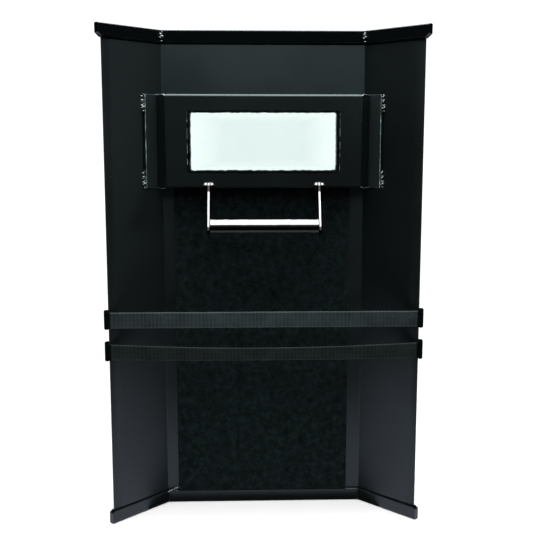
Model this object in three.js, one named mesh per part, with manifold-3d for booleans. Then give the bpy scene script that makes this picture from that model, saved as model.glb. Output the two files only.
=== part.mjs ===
// Three-facet hand shield with a viewport, seen from the user's side along +Y.
// Millimetres, +Z up. The design frame has y = 0 on the user's face of the centre panel and
// z = 0 under the bottom rail; the finished group is moved so that its box stands centred
// on the origin. "Along" is measured outwards on a wing from the bend, and "offset" is
// measured square to a panel, positive towards the strike side.
import * as THREE from 'three';
import { mergeVertices } from 'three/addons/utils/BufferGeometryUtils.js';
import Module from 'manifold-3d';

const wasm = await Module();
wasm.setup();

// Driving dimensions.
const HEIGHT = 900;
const CENTRE_WIDTH = 373;
const WING_ANGLE = THREE.MathUtils.degToRad(45);
const WING_FLAT = 107.6;
const EDGE_ROLL_RADIUS = 60;
const EDGE_ROLL_ANGLE = THREE.MathUtils.degToRad(20);
const PLATE_THICKNESS = 3;
const PLATE_BEND_RADIUS = 4;
const GAP = 0.3;

const RAIL_HEIGHT = 24;
const RAIL_WALL = 2;
const RAIL_CLEARANCE = 0.4;
const RAIL_INNER_DEPTH = 7.2;
const TOP_RAIL_REACH = 137.6;
const BOTTOM_RAIL_REACH = 134.2;
const RAIL_END_CUT = { top: { length: 9, rise: 8 }, bottom: { length: 5, rise: 5 } };

const PAN_BOTTOM = 615;
const PAN_TOP = 784;
const PAN_DEPTH = 40;
const PAN_WALL = 2;
const PAN_FACE_HALF = 177.5;
const PAN_FOOT_ALONG = 12.5;
const PAN_FLANGE_ALONG = 40;
const PAN_EDGE_RADIUS = 5;

const WINDOW_HEIGHT_CENTRE = 699.5;
const PAN_OPENING = { width: 275, height: 109.5, radius: 6 };
const PLATE_OPENING = { width: 279, height: 115, radius: 8 };
const GLASS_BLOCK = { width: 300, height: 134, radius: 3 };
const GLASS_SIGHT = { width: 265, height: 103, radius: 5 };
const GASKET_THICKNESS = 3;
const STRIKE_GLASS_THICKNESS = 26;
const LINER_THICKNESS = 4.5;
const CHANNEL_WALL = 2;
const CHANNEL_FLANGE = 11;

const LUG_SPACING = 199.4;
const LUG_CENTRE_HEIGHT = 620.5;
const LUG_STANDOFF = 9.2;
const LUG_RADIUS = 6;
const LUG_BASE = 2.5;
const LUG_EAR = 5.1;
const LUG_SLOT = 5.8;
const PIVOT_PIN_RADIUS = 2.4;
const PIVOT_BORE_RADIUS = 2.7;

const ARM_THICKNESS = 5;
const ARM_EYE_RADIUS = 6;
const ARM_FOOT_RADIUS = 8;
const ARM_OVERRUN = 9;
const ARM_LENGTH = 75.5;
const HANDLE_REST_ANGLE = THREE.MathUtils.degToRad(20.8);
const GRIP_RADIUS = 13.4;
const GRIP_WALL = 1.6;
const ROD_RADIUS = 4;
const END_DISC_THICKNESS = 4;

const PAD_LEFT = -166;
const PAD_RIGHT = 161.5;
const PAD_TOP = 613;
const PAD_THICKNESS = 5;
const PAD_BACKING = 1.2;

const WEBBING = 2.4;
const STRAP_WIDTH = 31;
const UPPER_STRAP_BOTTOM = 367.7;
const LOWER_STRAP_BOTTOM = 309;
const STRAP_FRONT_Y = -90.4;
const STRAP_SIDE_X = 287.6;
const STRAP_BACK_OFFSET = 4.8;
const STRAP_JOIN_ALONG = 58;
const SLIDE = { width: 26, height: 39, thickness: 3, bar: 4, rail: 3.5 };

const WELD_HEIGHT = 2.6;
const RAIL_WELD_WIDTH = 5;
const PAN_WELD = { length: 31, width: 7.5, inset: 16 };

const HALF_ANGLE_TANGENT = Math.tan(WING_ANGLE / 2);
const RAIL_USER_OFFSET = -RAIL_CLEARANCE - RAIL_WALL;
const RAIL_STRIKE_OFFSET = RAIL_USER_OFFSET + RAIL_INNER_DEPTH + 2 * RAIL_WALL;

function material(color, roughness, metalness) {
  return new THREE.MeshStandardMaterial({ color, roughness, metalness });
}

const satinBlack = () => material(0x15181a, 0.45, 0.2);
const stainless = () => material(0xc9cccd, 0.25, 1);
const webbingBlack = () => material(0x1b1c1e, 0.9, 0);
const rubberBlack = () => material(0x0d0e0f, 0.8, 0);

// ---- Manifold helpers ----

function toSolid(geometry) {
  const bare = geometry.clone();
  bare.deleteAttribute('normal');
  bare.deleteAttribute('uv');
  const merged = mergeVertices(bare, 1e-4);
  return new wasm.Manifold(new wasm.Mesh({
    numProp: 3,
    vertProperties: new Float32Array(merged.attributes.position.array),
    triVerts: new Uint32Array(merged.index.array),
  }));
}

function toGeometry(solid) {
  const mesh = solid.getMesh();
  const geometry = new THREE.BufferGeometry();
  geometry.setAttribute('position', new THREE.BufferAttribute(mesh.vertProperties, 3));
  geometry.setIndex(new THREE.BufferAttribute(mesh.triVerts, 1));
  geometry.computeVertexNormals();
  return geometry;
}

function cut(geometry, ...tools) {
  return toGeometry(tools.reduce((solid, tool) => solid.subtract(toSolid(tool)), toSolid(geometry)));
}

function join(...geometries) {
  return toGeometry(geometries.map(toSolid).reduce((total, next) => total.add(next)));
}

function common(first, second) {
  return toGeometry(toSolid(first).intersect(toSolid(second)));
}

// ---- Outlines and prisms ----

function outline(points) {
  return new THREE.Shape(points.map(([x, y]) => new THREE.Vector2(x, y)));
}

function roundedRectangle({ width, height, radius }, Outline = THREE.Shape) {
  const x = width / 2 - radius;
  const y = height / 2 - radius;
  const shape = new Outline();
  shape.absarc(x, y, radius, 0, Math.PI / 2);
  shape.absarc(-x, y, radius, Math.PI / 2, Math.PI);
  shape.absarc(-x, -y, radius, Math.PI, 1.5 * Math.PI);
  shape.absarc(x, -y, radius, 1.5 * Math.PI, 2 * Math.PI);
  shape.closePath();
  return shape;
}

function frameShape(outer, inner) {
  const shape = roundedRectangle(outer);
  shape.holes.push(roundedRectangle(inner, THREE.Path));
  return shape;
}

function extrude(shape, depth, curveSegments = 3) {
  return new THREE.ExtrudeGeometry(shape, { depth, bevelEnabled: false, steps: 1, curveSegments });
}

function prismUp(shape, bottom, top) {
  return extrude(shape, top - bottom).translate(0, 0, bottom);
}

// A shape drawn in x and z, filling the space from y = near to y = far.
function prismAlongY(shape, near, far) {
  return extrude(shape, far - near).rotateX(Math.PI / 2).translate(0, far, 0);
}

// A shape drawn in y and z, filling the space from x = left to x = right.
function prismAlongX(shape, left, right, curveSegments = 4) {
  const basis = new THREE.Matrix4().makeBasis(
    new THREE.Vector3(0, 1, 0), new THREE.Vector3(0, 0, 1), new THREE.Vector3(1, 0, 0),
  );
  return extrude(shape, right - left, curveSegments).applyMatrix4(basis).translate(left, 0, 0);
}

function cylinderAlongX(radius, left, right, segments = 32) {
  const middle = (left + right) / 2;
  return new THREE.CylinderGeometry(radius, radius, right - left, segments)
    .rotateZ(Math.PI / 2).translate(middle, 0, 0);
}

// ---- Plan paths of bent sheet and webbing ----

// A plan path through the corner points, with an arc of the given radius at each inner corner.
// Each sample holds a point and the unit normal on the path's left.
function bentPath(corners, radii, stepsPerArc = 6) {
  const samples = [];
  const put = (x, y, heading) => samples.push({ x, y, nx: -Math.sin(heading), ny: Math.cos(heading) });
  const headings = corners.slice(1).map(([x, y], i) => Math.atan2(y - corners[i][1], x - corners[i][0]));
  put(...corners[0], headings[0]);
  for (let i = 1; i < corners.length - 1; i += 1) {
    const before = headings[i - 1];
    let turn = headings[i] - before;
    turn = Math.atan2(Math.sin(turn), Math.cos(turn));
    const radius = radii[i - 1];
    const side = Math.sign(turn);
    const reach = radius * Math.tan(Math.abs(turn) / 2);
    const startX = corners[i][0] - reach * Math.cos(before);
    const startY = corners[i][1] - reach * Math.sin(before);
    const centreX = startX - side * radius * Math.sin(before);
    const centreY = startY + side * radius * Math.cos(before);
    for (let step = 0; step <= stepsPerArc; step += 1) {
      const heading = before + turn * step / stepsPerArc;
      put(centreX + side * radius * Math.sin(heading), centreY - side * radius * Math.cos(heading), heading);
    }
  }
  put(...corners.at(-1), headings.at(-1));
  return samples;
}

// The closed outline of a strip that runs along a path between two offsets.
function stripOutline(path, nearOffset, farOffset) {
  const shifted = (offset) => path.map(({ x, y, nx, ny }) => [x + nx * offset, y + ny * offset]);
  return outline([...shifted(nearOffset), ...shifted(farOffset).reverse()]);
}

function wingPoint(side, along, offset) {
  return [
    side * (CENTRE_WIDTH / 2 + along * Math.cos(WING_ANGLE) + offset * Math.sin(WING_ANGLE)),
    -along * Math.sin(WING_ANGLE) + offset * Math.cos(WING_ANGLE),
  ];
}

function bendPoint(side, offset, inward = 0) {
  return [side * (CENTRE_WIDTH / 2 + offset * HALF_ANGLE_TANGENT - inward), offset];
}

const mirrored = (points) => points.map(([x, y]) => [-x, y]).reverse();

// ---- Pieces ----

const group = new THREE.Group();

function addPiece(parent, name, geometry, look) {
  const mesh = new THREE.Mesh(geometry, look);
  mesh.name = name;
  parent.add(mesh);
  return mesh;
}

function windowPrism(shape, near, far) {
  return prismAlongY(shape, near, far).translate(0, 0, WINDOW_HEIGHT_CENTRE);
}

function shieldPlate() {
  const rollReach = EDGE_ROLL_RADIUS * Math.tan(EDGE_ROLL_ANGLE / 2);
  const endHeading = WING_ANGLE - EDGE_ROLL_ANGLE;
  const [rollX, rollY] = wingPoint(1, WING_FLAT + rollReach, 0);
  const edge = [rollX + rollReach * Math.cos(endHeading), rollY - rollReach * Math.sin(endHeading)];
  const rightHalf = [bendPoint(1, 0), [rollX, rollY], edge];
  const radii = [EDGE_ROLL_RADIUS, PLATE_BEND_RADIUS, PLATE_BEND_RADIUS, EDGE_ROLL_RADIUS];
  const path = bentPath([...mirrored(rightHalf), ...rightHalf], radii, 8);
  const bottom = RAIL_WALL + GAP;
  const sheet = prismUp(stripOutline(path, 0, PLATE_THICKNESS), bottom, HEIGHT - bottom);
  return cut(sheet, windowPrism(roundedRectangle(PLATE_OPENING), -1, PLATE_THICKNESS + 1));
}

// The plan quadrilateral of one rail between two offsets. The ends at a bend are mitred.
function railPlan(side, reach, nearOffset, farOffset) {
  const half = GAP / 2;
  if (side === 0) {
    const right = [bendPoint(1, nearOffset, half), bendPoint(1, farOffset, half)];
    return [...right, ...mirrored(right)];
  }
  return [
    bendPoint(side, nearOffset, -half),
    wingPoint(side, reach, nearOffset),
    wingPoint(side, reach, farOffset),
    bendPoint(side, farOffset, -half),
  ];
}

// The slot inside a rail runs past the mitres and stops at the closed outer end.
function railSlotPlan(side, reach) {
  const near = -RAIL_CLEARANCE;
  const far = near + RAIL_INNER_DEPTH;
  if (side === 0) {
    const half = CENTRE_WIDTH / 2 + RAIL_HEIGHT;
    return [[-half, near], [half, near], [half, far], [-half, far]];
  }
  const stop = reach - RAIL_WALL;
  return [
    wingPoint(side, -RAIL_HEIGHT, near),
    wingPoint(side, stop, near),
    wingPoint(side, stop, far),
    wingPoint(side, -RAIL_HEIGHT, far),
  ];
}

// A triangular cutter that takes the corner off a rail's outer end.
function railEndCutter(side, reach, isTop) {
  const { length, rise } = isTop ? RAIL_END_CUT.top : RAIL_END_CUT.bottom;
  const edge = isTop ? HEIGHT - RAIL_HEIGHT : RAIL_HEIGHT;
  const up = isTop ? 1 : -1;
  const corner = outline([[reach - length, edge], [reach + 1, edge - up], [reach + 1, edge + up * rise]]);
  const depth = 4 * RAIL_HEIGHT;
  const along = new THREE.Vector3(side * Math.cos(WING_ANGLE), -Math.sin(WING_ANGLE), 0);
  const rising = new THREE.Vector3(0, 0, 1);
  const across = new THREE.Vector3().crossVectors(along, rising);
  return extrude(corner, depth).translate(0, 0, -depth / 2)
    .applyMatrix4(new THREE.Matrix4().makeBasis(along, rising, across))
    .translate(side * CENTRE_WIDTH / 2, 0, 0);
}

function rail(side, isTop) {
  const reach = isTop ? TOP_RAIL_REACH : BOTTOM_RAIL_REACH;
  const low = isTop ? HEIGHT - RAIL_HEIGHT : 0;
  const body = prismUp(outline(railPlan(side, reach, RAIL_USER_OFFSET, RAIL_STRIKE_OFFSET)), low, low + RAIL_HEIGHT);
  const slotLow = isTop ? low - 1 : RAIL_WALL;
  const slotHigh = isTop ? HEIGHT - RAIL_WALL : RAIL_HEIGHT + 1;
  const slot = prismUp(outline(railSlotPlan(side, reach)), slotLow, slotHigh);
  return side === 0 ? cut(body, slot) : cut(body, slot, railEndCutter(side, reach, isTop));
}

function bead(length, width, height, facing, [x, y], z) {
  return new THREE.SphereGeometry(0.5, 10, 6).scale(width, height, length).rotateZ(facing).translate(x, y, z);
}

// Weld beads bridge the mitres on the user's side of both rails.
function railWelds(parent) {
  const valleyRise = RAIL_WELD_WIDTH / 2 * HALF_ANGLE_TANGENT;
  const proud = RAIL_USER_OFFSET - GAP - WELD_HEIGHT / 2 - valleyRise;
  for (const [word, side] of [['left', -1], ['right', 1]]) {
    for (const [level, middle] of [['top', HEIGHT - RAIL_HEIGHT / 2], ['bottom', RAIL_HEIGHT / 2]]) {
      const seat = bendPoint(side, proud);
      const weld = bead(RAIL_HEIGHT - 5, RAIL_WELD_WIDTH, WELD_HEIGHT, -side * WING_ANGLE / 2, seat, middle);
      addPiece(parent, `rail_weld_${level}_${word}`, weld, satinBlack());
    }
  }
}

function viewportPan() {
  const backFace = -PAN_DEPTH + PAN_WALL;
  const rightHalf = [
    [PAN_FACE_HALF, backFace],
    wingPoint(1, PAN_FOOT_ALONG, -GAP),
    wingPoint(1, PAN_FLANGE_ALONG, -GAP),
  ];
  const path = bentPath([...mirrored(rightHalf), ...rightHalf], [3, 4, 4, 3]);
  const sheet = prismUp(stripOutline(path, -PAN_WALL, 0), PAN_BOTTOM, PAN_TOP);
  const capRight = [
    [PAN_FACE_HALF, backFace - PAN_WALL / 2],
    wingPoint(1, PAN_FOOT_ALONG + PAN_WALL / 2, -GAP - PAN_WALL / 2),
    bendPoint(1, -GAP),
  ];
  const capOutline = outline([...capRight, ...mirrored(capRight)]);
  const bottomCap = prismUp(capOutline, PAN_BOTTOM, PAN_BOTTOM + PAN_WALL);
  const topCap = prismUp(capOutline, PAN_TOP - PAN_WALL, PAN_TOP);
  const box = roundedRectangle({ width: 4 * PAN_DEPTH, height: PAN_TOP - PAN_BOTTOM, radius: PAN_EDGE_RADIUS });
  const rounder = prismAlongX(box, -HEIGHT / 2, HEIGHT / 2)
    .translate(0, PAN_DEPTH, (PAN_TOP + PAN_BOTTOM) / 2);
  const shell = common(join(sheet, bottomCap, topCap), rounder);
  return cut(shell, windowPrism(roundedRectangle(PAN_OPENING), -PAN_DEPTH - 1, backFace + 1));
}

// Stitch welds hold both ends of each flange to its wing.
function panWelds(parent) {
  const along = PAN_FLANGE_ALONG + GAP + PAN_WELD.width / 2;
  for (const [word, side] of [['left', -1], ['right', 1]]) {
    for (const [level, middle] of [['top', PAN_TOP - PAN_WELD.inset], ['bottom', PAN_BOTTOM + PAN_WELD.inset]]) {
      const seat = wingPoint(side, along, -GAP - WELD_HEIGHT / 2);
      const weld = bead(PAN_WELD.length, PAN_WELD.width, WELD_HEIGHT, -side * WING_ANGLE, seat, middle);
      addPiece(parent, `pan_weld_${level}_${word}`, weld, satinBlack());
    }
  }
}

// The window stack is clamped between the pan's face and the plate, from the pan forwards.
function windowStack(parent) {
  const layers = [
    ['window_rear_gasket', frameShape(GLASS_BLOCK, GLASS_SIGHT), GASKET_THICKNESS, rubberBlack()],
    ['window_spall_liner', roundedRectangle(GLASS_BLOCK), LINER_THICKNESS, material(0xdfeee8, 0.1, 0)],
    ['window_strike_glass', roundedRectangle(GLASS_BLOCK), STRIKE_GLASS_THICKNESS, material(0xcfe6dc, 0.05, 0)],
    ['window_front_gasket', frameShape(GLASS_BLOCK, PLATE_OPENING), GASKET_THICKNESS, rubberBlack()],
  ];
  let near = -PAN_DEPTH + PAN_WALL + GAP;
  for (const [name, shape, thickness, look] of layers) {
    addPiece(parent, name, windowPrism(shape, near, near + thickness), look);
    near += thickness + GAP;
  }
}

// Angle strips on the plate hold the window stack on all four sides.
function windowChannels(parent) {
  const depth = STRIKE_GLASS_THICKNESS;
  const angleSection = outline([
    [-GAP, 0],
    [-GAP, CHANNEL_FLANGE],
    [-GAP - CHANNEL_WALL, CHANNEL_FLANGE],
    [-GAP - CHANNEL_WALL, CHANNEL_WALL],
    [-GAP - depth, CHANNEL_WALL],
    [-GAP - depth, 0],
  ]);
  const edges = [
    ['top', GLASS_BLOCK.width, GLASS_BLOCK.height, 0],
    ['left', GLASS_BLOCK.height - 14, GLASS_BLOCK.width, -Math.PI / 2],
    ['bottom', GLASS_BLOCK.width, GLASS_BLOCK.height, Math.PI],
    ['right', GLASS_BLOCK.height - 14, GLASS_BLOCK.width, Math.PI / 2],
  ];
  for (const [name, length, across, turn] of edges) {
    const strip = prismAlongX(angleSection, -length / 2, length / 2)
      .translate(0, 0, across / 2 + GAP).rotateY(turn).translate(0, 0, WINDOW_HEIGHT_CENTRE);
    addPiece(parent, `window_channel_${name}`, strip, satinBlack());
  }
}

// A clevis lug: two round ears on a base plate, with the pivot on the local X axis.
function handleLug() {
  const width = LUG_SLOT + 2 * LUG_EAR;
  const back = LUG_STANDOFF - GAP;
  const ear = new THREE.Shape();
  ear.absarc(0, 0, LUG_RADIUS, Math.PI / 2, 1.5 * Math.PI);
  ear.lineTo(back, -LUG_RADIUS);
  ear.lineTo(back, LUG_RADIUS);
  ear.closePath();
  const solid = prismAlongX(ear, -width / 2, width / 2);
  const slotSection = outline([
    [-LUG_RADIUS - 1, -LUG_RADIUS - 1],
    [back - LUG_BASE, -LUG_RADIUS - 1],
    [back - LUG_BASE, LUG_RADIUS + 1],
    [-LUG_RADIUS - 1, LUG_RADIUS + 1],
  ]);
  const slot = prismAlongX(slotSection, -LUG_SLOT / 2, LUG_SLOT / 2);
  return cut(solid, slot, cylinderAlongX(PIVOT_BORE_RADIUS, -width, width, 24));
}

// A headed pin turned on the local X axis, peened over both ears.
function pivotPin() {
  const half = LUG_SLOT / 2 + LUG_EAR + GAP;
  const headRadius = 4.2;
  const headThickness = 1.5;
  const profile = [
    [0, -half - headThickness],
    [headRadius - 1, -half - headThickness],
    [headRadius, -half - headThickness / 2],
    [headRadius, -half],
    [PIVOT_PIN_RADIUS, -half],
    [PIVOT_PIN_RADIUS, half],
    [headRadius, half],
    [headRadius, half + headThickness / 2],
    [headRadius - 1, half + headThickness],
    [0, half + headThickness],
  ].map(([radius, along]) => new THREE.Vector2(radius, along));
  return new THREE.LatheGeometry(profile, 16).rotateZ(-Math.PI / 2);
}

// A flat bar, wider at its foot, with a pivot eye at the origin and a rod hole below it.
function handleArm() {
  const reach = ARM_LENGTH + ARM_OVERRUN;
  const lean = Math.asin((ARM_FOOT_RADIUS - ARM_EYE_RADIUS) / reach);
  const bar = new THREE.Shape();
  bar.absarc(0, 0, ARM_EYE_RADIUS, lean, Math.PI - lean);
  bar.absarc(0, -reach, ARM_FOOT_RADIUS, Math.PI - lean, 2 * Math.PI + lean);
  bar.closePath();
  const eye = new THREE.Path();
  eye.absarc(0, 0, PIVOT_BORE_RADIUS, 0, 2 * Math.PI);
  const rodHole = new THREE.Path();
  rodHole.absarc(0, -ARM_LENGTH, ROD_RADIUS + GAP, 0, 2 * Math.PI);
  bar.holes.push(eye, rodHole);
  return prismAlongX(bar, -ARM_THICKNESS / 2, ARM_THICKNESS / 2, 8);
}

function ring(innerRadius, outerRadius, length, segments = 32) {
  const half = length / 2;
  const corners = [
    [innerRadius, -half], [outerRadius, -half], [outerRadius, half], [innerRadius, half], [innerRadius, -half],
  ].map(([radius, along]) => new THREE.Vector2(radius, along));
  return new THREE.LatheGeometry(corners, segments).rotateZ(-Math.PI / 2);
}

function handle(parent) {
  const pivotY = -PAN_DEPTH - LUG_STANDOFF;
  const armX = LUG_SPACING / 2;
  for (const [word, side] of [['left', -1], ['right', 1]]) {
    addPiece(parent, `handle_lug_${word}`, handleLug(), stainless())
      .position.set(side * armX, pivotY, LUG_CENTRE_HEIGHT);
    addPiece(parent, `handle_pivot_pin_${word}`, pivotPin(), stainless())
      .position.set(side * armX, pivotY, LUG_CENTRE_HEIGHT);
  }
  const swinging = new THREE.Group();
  swinging.position.set(0, pivotY, LUG_CENTRE_HEIGHT);
  swinging.rotation.x = -HANDLE_REST_ANGLE;
  parent.add(swinging);
  const tubeLength = LUG_SPACING - ARM_THICKNESS - 2 * GAP;
  addPiece(swinging, 'handle_grip_tube', ring(GRIP_RADIUS - GRIP_WALL, GRIP_RADIUS, tubeLength), stainless())
    .position.z = -ARM_LENGTH;
  const rodHalf = armX + ARM_THICKNESS / 2;
  addPiece(swinging, 'handle_grip_rod', cylinderAlongX(ROD_RADIUS, -rodHalf, rodHalf, 24), stainless())
    .position.z = -ARM_LENGTH;
  const discRadius = GRIP_RADIUS - GRIP_WALL - GAP;
  for (const [word, side] of [['left', -1], ['right', 1]]) {
    addPiece(swinging, `handle_arm_${word}`, handleArm(), stainless()).position.x = side * armX;
    addPiece(
      swinging, `grip_end_disc_${word}`, ring(ROD_RADIUS + GAP, discRadius, END_DISC_THICKNESS, 24), stainless(),
    ).position.set(side * (tubeLength - END_DISC_THICKNESS) / 2, 0, -ARM_LENGTH);
  }
}

function armPad(parent) {
  const bottom = RAIL_HEIGHT + GAP;
  const sheet = (inset, near, far) => {
    const width = PAD_RIGHT - PAD_LEFT - 2 * inset;
    const height = PAD_TOP - bottom - 2 * inset;
    const shape = roundedRectangle({ width, height, radius: 4 });
    return prismAlongY(shape, near, far).translate((PAD_LEFT + PAD_RIGHT) / 2, 0, (PAD_TOP + bottom) / 2);
  };
  const backingFront = -GAP - PAD_BACKING;
  addPiece(parent, 'arm_pad_backing', sheet(3, backingFront, -GAP), rubberBlack());
  const pileBack = backingFront - GAP;
  addPiece(parent, 'arm_pad', sheet(0, pileBack - PAD_THICKNESS, pileBack), material(0x111213, 1, 0));
}

// Each strap is two lengths of webbing that meet behind the wings. The front length crosses
// the open side and wraps both rolled edges; the rear length follows the strike face.
function strap(parent, name, bottom) {
  const loop = new THREE.Group();
  loop.position.z = bottom;
  parent.add(loop);
  const join = wingPoint(1, STRAP_JOIN_ALONG + 1, STRAP_BACK_OFFSET);
  const shoulder = wingPoint(1, WING_FLAT - 6, STRAP_BACK_OFFSET + 0.2);
  const frontRight = [
    [STRAP_SIDE_X, STRAP_FRONT_Y],
    [STRAP_SIDE_X, STRAP_FRONT_Y + 8.1],
    shoulder,
    join,
  ];
  const frontPath = bentPath([...mirrored(frontRight), ...frontRight], [6, 4.5, 4.5, 4.5, 4.5, 6], 5);
  const front = prismUp(stripOutline(frontPath, -WEBBING / 2, WEBBING / 2), 0, STRAP_WIDTH);
  addPiece(loop, `${name}_front_webbing`, front, webbingBlack());
  const rearRight = [bendPoint(1, STRAP_BACK_OFFSET), wingPoint(1, STRAP_JOIN_ALONG - 1, STRAP_BACK_OFFSET)];
  const rearPath = bentPath([...mirrored(rearRight), ...rearRight], [8, 8], 5);
  const rear = prismUp(stripOutline(rearPath, -WEBBING / 2, WEBBING / 2), 0, STRAP_WIDTH);
  addPiece(loop, `${name}_rear_webbing`, rear, webbingBlack());
  const slide = addPiece(loop, `${name}_slide`, strapSlide(), material(0x0f1011, 0.5, 0));
  const seatOffset = STRAP_BACK_OFFSET + WEBBING / 2 + GAP;
  const [seatX, seatY] = wingPoint(1, STRAP_JOIN_ALONG, seatOffset);
  slide.position.set(seatX, seatY, STRAP_WIDTH / 2);
  slide.rotation.z = -WING_ANGLE;
}

// A three-bar slide in local x and z, lying on the webbing, its thickness along +Y.
function strapSlide() {
  const openingWidth = (SLIDE.width - 2 * SLIDE.bar - SLIDE.bar) / 2;
  const opening = { width: openingWidth, height: SLIDE.height - 2 * SLIDE.rail, radius: 1.5 };
  const shape = roundedRectangle({ width: SLIDE.width, height: SLIDE.height, radius: 3 });
  const body = prismAlongY(shape, 0, SLIDE.thickness);
  const centre = (openingWidth + SLIDE.bar) / 2;
  const cutter = (x) => prismAlongY(roundedRectangle(opening), -1, SLIDE.thickness + 1).translate(x, 0, 0);
  return cut(body, cutter(-centre), cutter(centre));
}

addPiece(group, 'shield_plate', shieldPlate(), satinBlack());
for (const [word, isTop] of [['top', true], ['bottom', false]]) {
  for (const [place, side] of [['left', -1], ['centre', 0], ['right', 1]]) {
    addPiece(group, `${word}_rail_${place}`, rail(side, isTop), satinBlack());
  }
}
railWelds(group);
addPiece(group, 'viewport_pan', viewportPan(), satinBlack());
panWelds(group);
windowStack(group);
windowChannels(group);
handle(group);
armPad(group);
strap(group, 'upper_strap', UPPER_STRAP_BOTTOM);
strap(group, 'lower_strap', LOWER_STRAP_BOTTOM);

const box = new THREE.Box3().setFromObject(group, true);
group.position.y = -(box.min.y + box.max.y) / 2;
group.updateMatrixWorld(true);

export default group;
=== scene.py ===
"""Dresses a three-facet hand shield: coat, welds, window, handle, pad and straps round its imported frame."""
import math

import bmesh
import bpy
import numpy as np
from bpy.props import FloatProperty, FloatVectorProperty, IntProperty, PointerProperty
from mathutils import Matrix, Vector, noise


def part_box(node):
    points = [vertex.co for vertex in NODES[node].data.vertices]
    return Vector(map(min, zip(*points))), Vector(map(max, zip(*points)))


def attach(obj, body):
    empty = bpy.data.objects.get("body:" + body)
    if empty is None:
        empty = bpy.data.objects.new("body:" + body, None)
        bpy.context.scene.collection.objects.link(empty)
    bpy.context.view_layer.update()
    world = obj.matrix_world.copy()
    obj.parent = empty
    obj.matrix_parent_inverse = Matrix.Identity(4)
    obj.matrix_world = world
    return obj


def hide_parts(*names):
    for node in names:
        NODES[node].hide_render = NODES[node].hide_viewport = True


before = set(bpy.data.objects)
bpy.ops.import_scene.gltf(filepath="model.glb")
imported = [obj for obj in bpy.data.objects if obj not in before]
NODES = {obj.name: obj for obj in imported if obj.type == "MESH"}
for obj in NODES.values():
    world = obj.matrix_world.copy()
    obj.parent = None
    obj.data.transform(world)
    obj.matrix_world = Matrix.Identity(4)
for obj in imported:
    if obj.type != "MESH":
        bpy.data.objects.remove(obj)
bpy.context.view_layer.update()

bl_info = {
    "name": "Hand shield dressing",
    "version": (1, 0, 0),
    "blender": (4, 5, 0),
    "location": "3D View > Sidebar > Shield",
    "description": "Finishes a faceted hand shield with a viewport, a swinging handle and two forearm straps",
    "category": "Object",
}

MM = 0.001

# The plan of the bent plate, in metres: the wings turn towards the user from a flat centre.
HALF_CENTRE = 186.5 * MM
FOLD = math.radians(45)
PLAN_Y = 45.0975 * MM          # where the centre plate's rear face lies in the frame
FLANGE_X = 190 * MM            # the pan's flanges lie beyond this on each side
SHADOW_CAULK_REACH = 118 * MM         # how far the rail caulk, a dark bead standing in for the rails' shadow line, runs along each wing
FOOT_WELD = ((-186, 38.5, 22.5), (-176, 41.3, 26.5), (-166, 43.6, 29.5))     # in millimetres

# The straps' middle line in plan, and how far stitches stand off it, in thicknesses of the webbing.
STRAP_FRONT_Y = -45.3 * MM
STRAP_SIDE_X = 287.6 * MM
STRAP_TURN_Y = PLAN_Y - 79.8 * MM
STRAP_OFF = 4.8 * MM
STITCH_LIFT = 0.62
SHADED_END = 10.5 * MM           # how much of each end that wraps round the plate is painted dark, as painted shade

CAMERA_PLACE = (-0.0400, -1.5221, 0.6921)
CAMERA_DOWN, CAMERA_ASIDE = math.radians(8.380), math.radians(-1.851)
COOL_CAST = (0.70, 0.97, 1.0, 1.0)
SAME_PLACE = 1e-5              # closer than this, two heights are one


# ---------------------------------------------------------------- settings

def tone(label, note, default):
    return FloatVectorProperty(name=label, description=note, subtype="COLOR", size=3, min=0, max=1,
                               default=default)


def share(label, note, default):
    return FloatProperty(name=label, description=note, subtype="FACTOR", min=0, max=1, default=default)


def length(label, note, low, high, default):
    """A length, given here in millimetres and kept in metres."""
    return FloatProperty(name=label, description=note, unit="LENGTH", min=low * MM, max=high * MM,
                         default=default * MM)


def watts(label, lamp, default):
    return FloatProperty(name=label, description=f"Power of {lamp}, in watts", min=0, default=default)


class ShieldCoatSettings(bpy.types.PropertyGroup):
    """The powder coat on the plate, rails and pan."""

    colour: tone("Coat colour", "Colour of the powder coat", (0.0016, 0.0022, 0.0023))
    roughness: share("Plate roughness", "How satin the coat is on the plate", 0.36)
    pan_roughness: share("Pan roughness", "How satin the coat is on the viewport's pan", 0.26)
    rail_roughness: share("Top rail roughness", "How satin the coat is on the top rails", 0.16)
    edge_ease: length("Edge rounding", "Radius on the rails' edges", 0.1, 3, 0.6)
    fold: length("Rail fold radius", "Outer radius of the rails' folds", 1, 4, 2.6)
    peel: length("Orange peel", "Depth of the coat's fine ripple", 0, 1, 0.05)


class ShieldWeldSettings(bpy.types.PropertyGroup):
    """The weld beads and the sealant round the window."""

    pitch: length("Ripple pitch", "Distance from one weld ripple to the next", 0.5, 10, 2.9)
    height: length("Bead height", "How far a bead stands off the sheet", 0.5, 6, 2.4)
    seed: IntProperty(name="Seed", description="Fixes the scatter of the beads", min=0, default=7)
    sealant: length("Sealant wander", "How far the sealant's inner edge wanders", 0, 3, 0.9)


class ShieldMetalSettings(bpy.types.PropertyGroup):
    """The polished handle."""

    colour: tone("Steel colour", "Colour of the bare polished steel", (0.66, 0.66, 0.655))
    roughness: share("Polish", "Roughness of the polished steel", 0.13)
    edge_ease: length("Steel edge rounding", "Half the radius on the lugs' edges", 0.1, 2, 0.55)


class ShieldWindowSettings(bpy.types.PropertyGroup):
    """The clear parts of the viewport."""

    tint: tone("Glass tint", "Colour of light through the glass", (0.66, 0.775, 0.75))
    liner_tint: tone("Liner tint", "Colour of light through the rear liner", (0.985, 0.995, 0.99))


class ShieldPadSettings(bpy.types.PropertyGroup):
    """The forearm pad."""

    colour: tone("Pad colour", "Colour of the pad's pile", (0.0009, 0.0017, 0.0018))
    swell: length("Swell", "How far the foam's face rises and falls", 0, 3, 0.45)
    edge: length("Pad edge radius", "Rounding where the face turns to the cut edge", 0.5, 5, 2.2)


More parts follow.
